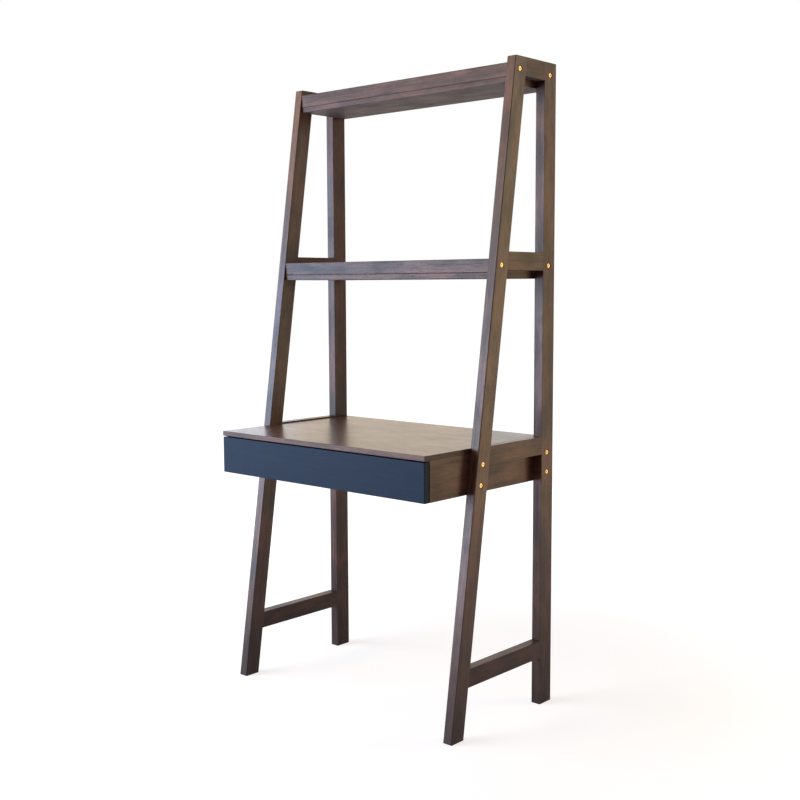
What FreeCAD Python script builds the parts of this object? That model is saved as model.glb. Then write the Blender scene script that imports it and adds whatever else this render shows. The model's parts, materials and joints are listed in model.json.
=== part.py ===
# Ladder desk: two leaning ladder frames carry two tray shelves and a desk case with one drawer.
# Millimetres. X runs to the right, Y to the back and Z up. The origin lies on the floor, under the
# middle of the desk's width and depth.
import FreeCAD, Part
import math
import os
from types import SimpleNamespace

import Sketcher

SIZES = {
    # Ladder frames: reaches are measured forward from the flat back of the desk.
    "frame_width": 836,
    "frame_height": 1780,
    "member_thickness": 28,
    "rear_post_depth": 54,
    "front_post_depth": 50,
    "foot_reach": 449,
    "top_reach": 185,
    "rail_height": 49,
    "mid_rail_top": 1272,
    "stretcher_top": 185,
    "post_edge_round": 2,
    # Mortise and tenon joints of the frames
    "tenon_thickness": 10,
    "tenon_length": 18,
    "tenon_shoulder": 8,
    "tenon_clearance": 0.15,
    "mortise_end_gap": 1,
    # Tray shelves
    "shelf_board_thickness": 16,
    "lip_height": 36,
    "lip_thickness": 16,
    "cleat_thickness": 18,
    "top_lip_drop": 16,
    "mid_lip_drop": 19,
    "shelf_recess": 1,
    "board_edge_round": 1.5,
    # Desk case
    "desk_reach": 520,
    "desktop_top": 761,
    "desktop_thickness": 14,
    "desk_rail_proud": 4,
    "case_height": 121,
    "case_side_thickness": 18,
    "case_back_thickness": 16,
    # Drawer
    "drawer_front_thickness": 18,
    "drawer_front_top_gap": 3,
    "drawer_front_side_gap": 1,
    "drawer_front_rear_gap": 2,
    "drawer_front_round": 1.5,
    "box_rear_gap": 46,
    "box_wall": 12,
    "box_rise": 15,
    "box_top_gap": 12,
    "box_bottom_thickness": 6,
    "box_bottom_rise": 8,
    "groove_depth": 6,
    "groove_clearance": 0.2,
    # Ball bearing drawer slides
    "slide_rear_gap": 34,
    "slide_overlap": 110,
    "slide_height": 27,
    "slide_space": 10,
    "slide_setback": 4,
    "slide_web": 1.2,
    "slide_flange": 2,
    "slide_tip_gap": 2.6,
    "ball_diameter": 4,
    "ball_clearance": 0.15,
    "race_depth": 1,
    "ball_pitch": 17,
    "cage_thickness": 1,
    "cage_web_gap": 0.5,
    "cage_end_gap": 3,
    # Bolts and threaded inserts that hold the shelves and the case to the frames
    "bolt_head_diameter": 13,
    "bolt_head_height": 3,
    "bolt_head_recess": 1,
    "bolt_head_bevel": 0.8,
    "bolt_head_clearance": 0.5,
    "bolt_diameter": 6,
    "bolt_hole_clearance": 0.25,
    "socket_width": 4,
    "socket_depth": 2,
    "insert_diameter": 9,
    "insert_length": 13,
    "insert_clearance": 0.1,
    "insert_end_gap": 2,
    "bolt_below_lip": 16.5,
    "bolt_below_desktop": 42,
    "bolt_above_case_bottom": 24.5,
    # Stopped tongues that hold lips, cleats and case sides to their boards
    "tongue_thickness": 6,
    "tongue_depth": 6,
    "tongue_clearance": 0.1,
    "tongue_stop": 20,
    # Every cut runs this far past the face that it opens.
    "overrun": 5,
}
BALLS_PER_ROW = 6
BALL_FLAT_COUNT = 6
BALL_BAND_COUNT = 4
SOCKET_FLAT_COUNT = 6
BORE_FLAT_COUNT = 8
NEAR = 1e-6


class Size:
    """A length that knows its number and the expression that ties it to the sheet."""

    def __init__(self, number, text):
        self.number = number
        self.text = text

    def __add__(self, other):
        return joined(self, "+", other, lambda a, b: a + b)

    def __sub__(self, other):
        return joined(self, "-", other, lambda a, b: a - b)

    def __mul__(self, other):
        return joined(self, "*", other, lambda a, b: a * b)

    def __truediv__(self, other):
        return joined(self, "/", other, lambda a, b: a / b)

    def __neg__(self):
        return self * -1


def as_size(value):
    return value if isinstance(value, Size) else Size(value, f"({value})")


def joined(left, sign, right, work):
    right = as_size(right)
    return Size(work(left.number, right.number), f"({left.text} {sign} {right.text})")


def make_sheet():
    """Writes the driving sizes into the document's sheet and returns them as sizes to build with."""
    sheet = doc.addObject("Spreadsheet::Sheet", "Sizes")
    for row, (name, number) in enumerate(SIZES.items(), start=1):
        sheet.set(f"A{row}", name)
        sheet.set(f"B{row}", str(number))
        sheet.setAlias(f"B{row}", name)
    doc.recompute()
    return SimpleNamespace(**{name: Size(float(sheet.get(name)), f"Sizes.{name}") for name in SIZES})


doc = FreeCAD.newDocument("ladder_desk")
S = make_sheet()
ZERO = Size(0, "0")
SIDES = {"left": -1, "right": 1}
FINISHED = []

# Planes that the pieces share
frame_outside = S.frame_width / 2
frame_inside = frame_outside - S.member_thickness
frame_middle = frame_outside - S.member_thickness / 2
desk_back = S.desk_reach / 2
desk_front = -desk_back
rear_post_front = desk_back - S.rear_post_depth
desktop_underside = S.desktop_top - S.desktop_thickness
case_bottom = S.desktop_top - S.case_height
case_inside = frame_inside - S.case_side_thickness
case_back_face = desk_back - S.case_back_thickness
drawer_front_rear = desk_front + S.drawer_front_thickness
case_side_front = drawer_front_rear + S.drawer_front_rear_gap
box_outside = case_inside - S.slide_space
box_inside = box_outside - S.box_wall
box_low = case_bottom + S.box_rise
box_high = desktop_underside - S.box_top_gap
box_rear = case_back_face - S.box_rear_gap
box_floor_low = box_low + S.box_bottom_rise
box_floor_high = box_floor_low + S.box_bottom_thickness
slide_front = case_side_front + S.slide_setback
slide_length = box_rear - S.slide_rear_gap - slide_front
drawer_travel = slide_length - S.slide_overlap
slide_middle = (box_low + box_high) / 2
rail_tops = {
    "top_rail": S.frame_height,
    "mid_rail": S.mid_rail_top,
    "desk_rail": S.desktop_top + S.desk_rail_proud,
    "stretcher": S.stretcher_top,
}
lip_tops = {
    "top_shelf": S.frame_height - S.top_lip_drop,
    "mid_shelf": S.mid_rail_top - S.mid_lip_drop,
}
counterbore_depth = S.bolt_head_height + S.bolt_head_recess


def post_front(height):
    """Depth of the leaning post's front face at a height."""
    return desk_front + S.desk_reach - S.foot_reach + (S.foot_reach - S.top_reach) * height / S.frame_height


def post_back(height):
    return post_front(height) + S.front_post_depth


def bolt_heights():
    """Heights of the bolts, from the top shelf down to the case's lower edge."""
    shelf_bolts = [lip_top - S.bolt_below_lip for lip_top in lip_tops.values()]
    return shelf_bolts + [S.desktop_top - S.bolt_below_desktop, case_bottom + S.bolt_above_case_bottom]


def front_bolt(height):
    """Depth and height of a bolt on the middle line of the leaning post."""
    return (post_front(height) + S.front_post_depth / 2, height)


def rear_bolt(height):
    return (desk_back - S.rear_post_depth / 2, height)


def new_body(label, x=ZERO, z=ZERO):
    body = doc.addObject("PartDesign::Body", label)
    body.Label = label
    body.setExpression("Placement.Base.x", x.text)
    body.setExpression("Placement.Base.z", z.text)
    return body


def tie(sketch, kind, edge, point, place):
    """Holds a point's distance from the sketch's origin at a size."""
    if place.number == 0:
        axis = -2 if kind == "DistanceX" else -1
        sketch.addConstraint(Sketcher.Constraint("PointOnObject", edge, point, axis))
        return
    index = sketch.addConstraint(Sketcher.Constraint(kind, -1, 1, edge, point, place.number))
    sketch.setExpression(f"Constraints[{index}]", place.text)


def draw_outline(sketch, corners):
    """Draws a closed outline through its corners and ties each corner to its sizes."""
    points = [FreeCAD.Vector(across.number, up.number, 0) for across, up in corners]
    first = sketch.GeometryCount
    for start, end in zip(points, points[1:] + points[:1]):
        sketch.addGeometry(Part.LineSegment(start, end))
    for number, (across, up) in enumerate(corners):
        edge = first + number
        before = first + (number - 1) % len(corners)
        sketch.addConstraint(Sketcher.Constraint("Coincident", before, 2, edge, 1))
        tie(sketch, "DistanceX", edge, 1, across)
        tie(sketch, "DistanceY", edge, 1, up)


def draw_circle(sketch, centre, diameter):
    across, up = centre
    middle = FreeCAD.Vector(across.number, up.number, 0)
    circle = sketch.addGeometry(Part.Circle(middle, FreeCAD.Vector(0, 0, 1), diameter.number / 2))
    tie(sketch, "DistanceX", circle, 3, across)
    tie(sketch, "DistanceY", circle, 3, up)
    index = sketch.addConstraint(Sketcher.Constraint("Diameter", circle, diameter.number))
    sketch.setExpression(f"Constraints[{index}]", diameter.text)


def new_sketch(body, name, plane, start):
    """A sketch on one of the body's own planes, moved along X, Y or Z to its start."""
    sketch = body.newObject("Sketcher::SketchObject", f"{body.Name}_{name}_sketch")
    origin_plane = next(f for f in body.Origin.OriginFeatures if f.Role == plane)
    sketch.AttachmentSupport = [(origin_plane, "")]
    sketch.MapMode = "FlatFace"
    offset = -start if plane == "XZ_Plane" else start
    sketch.setExpression("AttachmentOffset.Base.z", offset.text)
    return sketch


def extrude(body, name, plane, start, depth, outlines=(), circles=(), cut=False):
    """Pads or pockets outlines from a start, a depth towards positive X, Y or Z."""
    sketch = new_sketch(body, name, plane, start)
    for corners in outlines:
        draw_outline(sketch, corners)
    for centre, diameter in circles:
        draw_circle(sketch, centre, diameter)
    before = body.Shape.Volume if cut else 0
    feature = body.newObject("PartDesign::Pocket" if cut else "PartDesign::Pad", f"{body.Name}_{name}")
    feature.Profile = sketch
    feature.setExpression("Length", depth.text)
    feature.Reversed = (plane == "XZ_Plane") != cut
    doc.recompute()
    if cut and body.Shape.Volume >= before:
        raise RuntimeError(f"{feature.Name} cuts nothing")


def box_outline(across_low, across_high, up_low, up_high):
    return [(across_low, up_low), (across_high, up_low), (across_high, up_high), (across_low, up_high)]


def flats(centre, diameter, count):
    """A round hole or shank that stays out of sight, drawn with a few flats."""
    across, up = centre
    corner = diameter / (2 * math.cos(math.pi / count))
    turns = [2 * math.pi * number / count for number in range(count)]
    return [(across + corner * math.cos(turn), up + corner * math.sin(turn)) for turn in turns]


def board(label, x_low, x_high, y_low, y_high, z_low, z_high, z_place=ZERO):
    """A plain board, cut to length and width."""
    body = new_body(label, z=z_place)
    extrude(body, "board", "XY_Plane", z_low, z_high - z_low, [box_outline(x_low, x_high, y_low, y_high)])
    FINISHED.append(body)
    return body


def round_edges(body, radius, wanted, lengthwise=False):
    """Rounds the edges whose two ends both pass a test, or only those of them that run along X."""
    names = [
        f"Edge{number}"
        for number, edge in enumerate(body.Tip.Shape.Edges, start=1)
        if all(wanted(vertex.Point) for vertex in edge.Vertexes)
        and not (lengthwise and math.isclose(edge.BoundBox.XLength, 0, abs_tol=NEAR))
    ]
    base = body.Tip
    fillet = body.newObject("PartDesign::Fillet", f"{body.Name}_round")
    fillet.Base = (base, names)
    fillet.setExpression("Radius", radius.text)
    doc.recompute()


def lies_between(low, high):
    """A test for points on the straight line between two corners of a side view."""
    lean = (high[0].number - low[0].number) / (high[1].number - low[1].number)
    return lambda point: math.isclose(point.y, low[0].number + lean * point.z, abs_tol=NEAR)


def lies_at_depth(depth):
    """A test for points on an upright plane across the desk."""
    return lambda point: math.isclose(point.y, depth.number, abs_tol=NEAR)


# Ladder frames
def mortise_outlines(on_front_post):
    """Side views of one post's four mortises, each as tall as its tenon and a little deeper."""
    outlines = []
    for top in rail_tops.values():
        low = top - S.rail_height + S.tenon_shoulder - S.tenon_clearance
        high = top - S.tenon_shoulder + S.tenon_clearance
        depth = S.tenon_length + S.mortise_end_gap
        if on_front_post:
            bottom = [(post_back(low) - depth, low), (post_back(low) + S.overrun, low)]
            outlines.append(bottom + [(post_back(high) + S.overrun, high), (post_back(high) - depth, high)])
        else:
            outlines.append(box_outline(rear_post_front - S.overrun, rear_post_front + depth, low, high))
    return outlines


def post(label, side, outline, on_front_post):
    """A post with blind mortises on its inner edge and bolt holes sunk into its outer face."""
    body = new_body(label, x=frame_middle * side)
    extrude(body, "stile", "YZ_Plane", -S.member_thickness / 2, S.member_thickness, [outline])
    outer_edge = (outline[0], outline[3]) if on_front_post else (outline[1], outline[2])
    round_edges(body, S.post_edge_round, lies_between(*outer_edge))
    slot = S.tenon_thickness / 2 + S.tenon_clearance
    extrude(body, "mortises", "YZ_Plane", -slot, slot * 2, mortise_outlines(on_front_post), cut=True)
    place = front_bolt if on_front_post else rear_bolt
    centres = [place(height) for height in bolt_heights()]
    hole = S.bolt_diameter + S.bolt_hole_clearance * 2
    extrude(body, "bolt_holes", "YZ_Plane", -S.member_thickness / 2 - S.overrun,
            S.member_thickness + S.overrun * 2, [flats(centre, hole, BORE_FLAT_COUNT) for centre in centres],
            cut=True)
    sink = S.bolt_head_diameter + S.bolt_head_clearance * 2
    start = S.member_thickness / 2 - counterbore_depth
    if side < 0:
        start = -S.member_thickness / 2 - S.overrun
    extrude(body, "counterbores", "YZ_Plane", start, counterbore_depth + S.overrun,
            circles=[(centre, sink) for centre in centres], cut=True)
    FINISHED.append(body)


def rail(label, side, top):
    """A level rail with a tenon at each end; the front shoulder leans with the post."""
    body = new_body(label, x=frame_middle * side)
    low = top - S.rail_height
    stile = [(post_back(low), low), (rear_post_front, low), (rear_post_front, top), (post_back(top), top)]
    extrude(body, "rail", "YZ_Plane", -S.member_thickness / 2, S.member_thickness, [stile])
    low = low + S.tenon_shoulder
    top = top - S.tenon_shoulder
    rear = rear_post_front + S.tenon_length
    tongue = [(post_back(low) - S.tenon_length, low), (rear, low)]
    tongue = tongue + [(rear, top), (post_back(top) - S.tenon_length, top)]
    extrude(body, "tenons", "YZ_Plane", -S.tenon_thickness / 2, S.tenon_thickness, [tongue])
    FINISHED.append(body)


def ladder_frame(name, side):
    foot = post_front(ZERO)
    head = post_front(S.frame_height)
    leaning = [(foot, ZERO), (foot + S.front_post_depth, ZERO),
               (head + S.front_post_depth, S.frame_height), (head, S.frame_height)]
    post(f"{name}_front_post", side, leaning, True)
    post(f"{name}_rear_post", side, box_outline(rear_post_front, desk_back, ZERO, S.frame_height), False)
    for rail_name, top in rail_tops.items():
        rail(f"{name}_{rail_name}", side, top)


# Joints and fasteners
def tongue_joint(piece, carrier, run, seat, upward):
    """A tongue on the edge of a piece and the stopped groove for it in the board that carries it."""
    x_low, x_high, y_low, y_high = run
    gap = S.tongue_clearance
    start = seat if upward else seat - S.tongue_depth
    extrude(piece, "tongue", "XY_Plane", start, S.tongue_depth, [box_outline(*run)])
    slot = box_outline(x_low - gap, x_high + gap, y_low - gap, y_high + gap)
    start = seat - S.overrun if upward else seat - S.tongue_depth - gap
    extrude(carrier, f"{piece.Name}_groove", "XY_Plane", start, S.tongue_depth + gap + S.overrun, [slot],
            cut=True)


def insert_bores(body, side, centres):
    """Blind bores for threaded inserts, from the face that meets the frame."""
    depth = S.insert_length + S.insert_end_gap
    start = frame_inside - depth if side > 0 else -frame_inside - S.overrun
    bore = S.insert_diameter + S.insert_clearance * 2
    extrude(body, "insert_bores", "YZ_Plane", start, depth + S.overrun,
            [flats(centre, bore, BORE_FLAT_COUNT) for centre in centres], cut=True)


def group(label, shape, places):
    """Copies of one small piece, each a solid of its own, in one group."""
    feature = doc.addObject("Part::Feature", label)
    copies = []
    for place in places:
        copy = shape.copy()
        copy.Placement = place
        copies.append(copy)
    feature.Shape = Part.makeCompound(copies)
    feature.Placement = FreeCAD.Placement()
    FINISHED.append(feature)


def placed(x, y, z, turn=0):
    """A place in the desk, turned about an upright axis."""
    upright = FreeCAD.Vector(0, 0, 1)
    return FreeCAD.Placement(FreeCAD.Vector(x.number, y.number, z.number), FreeCAD.Rotation(upright, turn))


def bolt_master():
    """A round-headed bolt: its seat at zero, its head outwards and its shank inwards."""
    body = new_body("bolt")
    axis = (ZERO, ZERO)
    head = S.bolt_head_diameter / 2
    profile = [(ZERO, ZERO), (S.bolt_head_height, ZERO), (S.bolt_head_height, head - S.bolt_head_bevel),
               (S.bolt_head_height - S.bolt_head_bevel, head), (ZERO, head)]
    sketch = new_sketch(body, "head", "XZ_Plane", ZERO)
    draw_outline(sketch, profile)
    turning = body.newObject("PartDesign::Revolution", "bolt_head")
    turning.Profile = sketch
    turning.ReferenceAxis = (sketch, ["H_Axis"])
    doc.recompute()
    length = S.member_thickness - counterbore_depth + S.insert_length
    extrude(body, "shank", "YZ_Plane", -length, length, [flats(axis, S.bolt_diameter, BORE_FLAT_COUNT)])
    extrude(body, "socket", "YZ_Plane", S.bolt_head_height - S.socket_depth, S.socket_depth + S.overrun,
            [flats(axis, S.socket_width, SOCKET_FLAT_COUNT)], cut=True)
    return body.Shape


def insert_master():
    """A threaded insert as a plain sleeve: its outer end at zero."""
    body = new_body("insert")
    axis = (ZERO, ZERO)
    bore = S.bolt_diameter + S.insert_clearance * 2
    rings = [flats(axis, S.insert_diameter, BORE_FLAT_COUNT), flats(axis, bore, BORE_FLAT_COUNT)]
    extrude(body, "sleeve", "YZ_Plane", -S.insert_length, S.insert_length, rings)
    return body.Shape


def ball_master():
    """A steel ball, drawn with flat bands whose corners lie on its true surface."""
    radius = S.ball_diameter.number / 2
    turns = [2 * math.pi * number / BALL_FLAT_COUNT for number in range(BALL_FLAT_COUNT)]
    rings = []
    for band in range(BALL_BAND_COUNT + 1):
        tilt = math.pi * band / BALL_BAND_COUNT
        reach = radius * math.sin(tilt)
        height = radius * math.cos(tilt)
        corners = [(reach * math.cos(turn), reach * math.sin(turn), height) for turn in turns]
        rings.append([FreeCAD.Vector(*corner) for corner in corners])
    faces = []
    for above, below in zip(rings, rings[1:]):
        for number in range(BALL_FLAT_COUNT):
            after = (number + 1) % BALL_FLAT_COUNT
            loop = [above[number], below[number], below[after], above[after]]
            steps = zip(loop, loop[-1:] + loop)
            corners = [point for point, before in steps if not point.isEqual(before, NEAR)]
            faces.append(Part.Face(Part.makePolygon(corners + corners[:1])))
    return Part.makeSolid(Part.makeShell(faces))


def frame_fasteners(name, side, bolt, insert):
    """The eight bolts of one frame and the inserts that they screw into."""
    centres = [front_bolt(height) for height in bolt_heights()]
    centres += [rear_bolt(height) for height in bolt_heights()]
    turn = 0 if side > 0 else 180
    seat = (frame_outside - counterbore_depth) * side
    face = frame_inside * side
    group(f"{name}_frame_bolts", bolt, [placed(seat, y, z, turn) for y, z in centres])
    group(f"{name}_threaded_inserts", insert, [placed(face, y, z, turn) for y, z in centres])


# Tray shelves
def tray_shelf(name, lip_top):
    """A board between the frames, with a lip at the front and back and a cleat at each end."""
    bottom = lip_top - S.lip_height - S.shelf_board_thickness
    seat = S.shelf_board_thickness
    top = seat + S.lip_height
    front = post_front(lip_top) + S.shelf_recess
    lip_rear = front + S.lip_thickness
    back_lip_front = desk_back - S.lip_thickness
    shelf_board = board(f"{name}_board", -frame_inside, frame_inside, front, desk_back, ZERO, seat, bottom)
    round_edges(shelf_board, S.board_edge_round, lies_at_depth(front), True)
    reach = frame_inside - S.tongue_stop
    for lip_name, low in (("front_lip", front), ("back_lip", back_lip_front)):
        lip = board(f"{name}_{lip_name}", -frame_inside, frame_inside, low, low + S.lip_thickness, seat, top,
                    bottom)
        round_edges(lip, S.board_edge_round, lies_at_depth(low), True)
        start = low + (S.lip_thickness - S.tongue_thickness) / 2
        tongue_joint(lip, shelf_board, (-reach, reach, start, start + S.tongue_thickness), seat, False)
    bolt_height = top - S.bolt_below_lip
    bolt_depths = [front_bolt(lip_top - S.bolt_below_lip)[0], rear_bolt(bolt_height)[0]]
    for side_name, side in SIDES.items():
        low = frame_inside - S.cleat_thickness if side > 0 else -frame_inside
        cleat = board(f"{name}_{side_name}_cleat", low, low + S.cleat_thickness, lip_rear, back_lip_front,
                      seat, top, bottom)
        start = low + (S.cleat_thickness - S.tongue_thickness) / 2
        run = (start, start + S.tongue_thickness, lip_rear + S.tongue_stop, back_lip_front - S.tongue_stop)
        tongue_joint(cleat, shelf_board, run, seat, False)
        insert_bores(cleat, side, [(depth, bolt_height) for depth in bolt_depths])


# Desk case
def desk_case():
    """The writing board on two sides and a back, open in front for the drawer."""
    heights = bolt_heights()[len(lip_tops):]
    insert_centres = [front_bolt(height) for height in heights] + [rear_bolt(height) for height in heights]
    desktop = board("desktop", -frame_inside, frame_inside, desk_front, desk_back, desktop_underside,
                    S.desktop_top)
    round_edges(desktop, S.board_edge_round, lies_at_depth(desk_front), True)
    for name, side in SIDES.items():
        low = case_inside if side > 0 else -frame_inside
        panel = board(f"{name}_case_side", low, low + S.case_side_thickness, case_side_front, desk_back,
                      case_bottom, desktop_underside)
        start = low + (S.case_side_thickness - S.tongue_thickness) / 2
        run = (start, start + S.tongue_thickness, case_side_front + S.tongue_stop, desk_back - S.tongue_stop)
        tongue_joint(panel, desktop, run, desktop_underside, True)
        insert_bores(panel, side, insert_centres)
    board("case_back", -case_inside, case_inside, case_back_face, desk_back, case_bottom, desktop_underside)


# Drawer
def drawer():
    """A flush slab front on a grooved box whose floor slides in under the box's back."""
    edge = frame_inside - S.drawer_front_side_gap
    top = desktop_underside - S.drawer_front_top_gap
    front = board("drawer_front", -edge, edge, desk_front, drawer_front_rear, case_bottom, top)
    round_edges(front, S.drawer_front_round, lies_at_depth(desk_front))
    wall_rear = drawer_front_rear + S.box_wall
    groove_low = box_floor_low - S.groove_clearance
    groove_tall = S.box_bottom_thickness + S.groove_clearance * 2
    reach = S.groove_depth + S.groove_clearance
    box_front = board("drawer_box_front", -box_inside, box_inside, drawer_front_rear, wall_rear, box_low,
                      box_high)
    slot = box_outline(-box_inside - S.overrun, box_inside + S.overrun, wall_rear - reach,
                       wall_rear + S.overrun)
    extrude(box_front, "groove", "XY_Plane", groove_low, groove_tall, [slot], cut=True)
    for name, side in SIDES.items():
        low, high = (box_inside, box_outside) if side > 0 else (-box_outside, -box_inside)
        wall = board(f"drawer_{name}_side", low, high, drawer_front_rear, box_rear, box_low, box_high)
        inner, outer = (-S.overrun, reach) if side > 0 else (-reach, S.overrun)
        slot = box_outline(box_inside * side + inner, box_inside * side + outer, wall_rear - reach,
                           box_rear + S.overrun)
        extrude(wall, "groove", "XY_Plane", groove_low, groove_tall, [slot], cut=True)
    board("drawer_back", -box_inside, box_inside, box_rear - S.box_wall, box_rear, box_floor_high, box_high)
    floor_edge = box_inside + S.groove_depth
    board("drawer_bottom", -floor_edge, floor_edge, wall_rear - S.groove_depth, box_rear, box_floor_low,
          box_floor_high)


# Drawer slides: across is measured from the case side towards the drawer
def slide_outline(side, corners):
    """Turns corners measured from the case side into places in front view."""
    return [((case_inside - across) * side, slide_middle + up) for across, up in corners]


def channel(tip, across_web, web, half_height, flange):
    """A channel in front view: its web at one side and two flanges that point to the other."""
    inner = half_height - flange
    return [
        (across_web, -half_height), (tip, -half_height), (tip, -inner), (web, -inner), (web, inner),
        (tip, inner), (tip, half_height), (across_web, half_height),
    ]


def drawer_slide(name, side, ball):
    """Two channels face to face, with rows of caged balls running between their flanges."""
    half = S.slide_height / 2
    radius = S.ball_diameter / 2
    ball_height = half - S.slide_flange + S.race_depth - S.ball_clearance - radius
    drawer_half = ball_height - radius - S.ball_clearance + S.race_depth
    race = S.ball_diameter + S.ball_clearance * 2
    case_tip = S.slide_space - S.slide_tip_gap
    drawer_tip = S.slide_web + S.cage_thickness + S.cage_web_gap * 2
    ball_across = (case_tip + drawer_tip) / 2
    rows = (ball_height, -ball_height)
    races = [(slide_outline(side, [(ball_across, row)])[0], race) for row in rows]
    members = {
        f"{name}_case_slide": channel(case_tip, ZERO, S.slide_web, half, S.slide_flange),
        f"{name}_drawer_slide": channel(drawer_tip, S.slide_space, S.slide_space - S.slide_web,
                                        drawer_half, S.slide_flange),
    }
    for label, corners in members.items():
        body = new_body(label)
        extrude(body, "channel", "XZ_Plane", slide_front, slide_length, [slide_outline(side, corners)])
        extrude(body, "races", "XZ_Plane", slide_front - S.overrun, slide_length + S.overrun * 2,
                circles=races, cut=True)
        FINISHED.append(body)
    ball_cage(name, side, ball, ball_across, ball_height)


def ball_cage(name, side, ball, ball_across, ball_height):
    """The bent strip that spaces the balls; it runs half as far as the drawer."""
    web_low = S.slide_web + S.cage_web_gap
    web_high = web_low + S.cage_thickness
    half = ball_height + S.cage_thickness / 2
    inner = half - S.cage_thickness
    tip = S.slide_space - S.slide_web - S.cage_web_gap
    corners = [(web_low, -half), (tip, -half), (tip, -inner), (web_high, -inner), (web_high, inner),
               (tip, inner), (tip, half), (web_low, half)]
    start = slide_front + drawer_travel / 2 + S.cage_end_gap
    length = S.slide_overlap - S.cage_end_gap * 2
    cage = new_body(f"{name}_ball_cage")
    extrude(cage, "strip", "XZ_Plane", start, length, [slide_outline(side, corners)])
    across = (case_inside - ball_across) * side
    middle = start + length / 2
    depths = [middle + S.ball_pitch * (number - (BALLS_PER_ROW - 1) / 2) for number in range(BALLS_PER_ROW)]
    reach = S.ball_diameter / 2 + S.ball_clearance
    windows = [box_outline(across - reach, across + reach, depth - reach, depth + reach) for depth in depths]
    extrude(cage, "ball_windows", "XY_Plane", slide_middle - half - S.overrun, half * 2 + S.overrun * 2,
            windows, cut=True)
    FINISHED.append(cage)
    heights = (slide_middle + ball_height, slide_middle - ball_height)
    group(f"{name}_balls", ball, [placed(across, depth, height) for height in heights for depth in depths])


def check_and_write():
    """Stops at any failed feature or bad solid, then writes one file for each piece."""
    doc.recompute()
    failed = [item.Name for item in doc.Objects if {"Invalid", "Error"} & set(item.State)]
    bad = [item.Label for item in FINISHED if item.Shape.isNull() or not item.Shape.isValid()]
    if failed or bad:
        raise RuntimeError(f"failed features {failed}, bad solids {bad}")
    os.makedirs("parts", exist_ok=True)
    for item in FINISHED:
        item.Shape.exportStep(f"parts/{item.Label}.step")
        print(item.Label, len(item.Shape.Solids), round(item.Shape.Volume))


def main():
    bolt = bolt_master()
    insert = insert_master()
    ball = ball_master()
    for name, side in SIDES.items():
        ladder_frame(name, side)
        frame_fasteners(name, side, bolt, insert)
        drawer_slide(name, side, ball)
    for name, lip_top in lip_tops.items():
        tray_shelf(name, lip_top)
    desk_case()
    drawer()
    check_and_write()


main()
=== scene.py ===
# %% [markdown]
# # Ladder desk
#
# This lesson dresses a packed ladder desk: two leaning side frames of dark stained wood, two tray
# shelves, a writing board and one wide navy drawer. The shapes come from the CAD model and stay as
# they are. What is left for Blender is the finish of every surface, the small screws that the CAD
# model leaves out, the light and the camera.

import json
import math

import bmesh
import bpy
from mathutils import Euler, Matrix, Vector

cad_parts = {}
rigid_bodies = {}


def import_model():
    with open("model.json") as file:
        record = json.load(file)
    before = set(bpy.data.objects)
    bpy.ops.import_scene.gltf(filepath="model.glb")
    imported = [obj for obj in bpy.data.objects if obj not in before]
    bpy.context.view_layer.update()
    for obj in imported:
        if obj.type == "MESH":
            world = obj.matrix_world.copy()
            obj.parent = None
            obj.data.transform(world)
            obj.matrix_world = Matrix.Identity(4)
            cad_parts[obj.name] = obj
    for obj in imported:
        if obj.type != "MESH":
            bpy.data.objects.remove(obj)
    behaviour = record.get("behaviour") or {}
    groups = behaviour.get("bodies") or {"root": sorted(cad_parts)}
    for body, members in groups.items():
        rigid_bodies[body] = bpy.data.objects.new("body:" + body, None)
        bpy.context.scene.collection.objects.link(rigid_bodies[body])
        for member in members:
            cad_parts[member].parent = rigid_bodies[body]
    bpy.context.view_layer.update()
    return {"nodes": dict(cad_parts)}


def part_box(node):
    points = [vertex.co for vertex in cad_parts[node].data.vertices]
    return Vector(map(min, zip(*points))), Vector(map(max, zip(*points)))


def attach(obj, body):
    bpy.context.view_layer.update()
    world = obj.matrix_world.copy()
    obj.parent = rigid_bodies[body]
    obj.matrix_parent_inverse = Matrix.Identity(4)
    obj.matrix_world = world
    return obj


for leftover in list(bpy.data.objects):
    bpy.data.objects.remove(leftover)

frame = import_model()
nodes = frame["nodes"]
scene = bpy.context.scene
scene.view_settings.view_transform = "Standard"

# %% [markdown]
# ## A small language for shader nodes
#
# Every finish below is arithmetic on positions: stretch the coordinates along the grain, take noise,
# compare it with limits, mix two colours. Nodes could be added and linked one by one, but then the sums
# get lost among the links. A class that wraps one output socket lets them be written as ordinary sums,
# and its method `node` adds every other kind of node.

# %% Shader values
# Blender's noise swings about this value
NOISE_MIDDLE = 0.5


def feed(tree, socket, value):
    """Links a shader value to a socket, or sets a plain number, colour or vector on it."""
    if isinstance(value, Value):
        tree.links.new(value.socket, socket)
    else:
        socket.default_value = value


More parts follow.
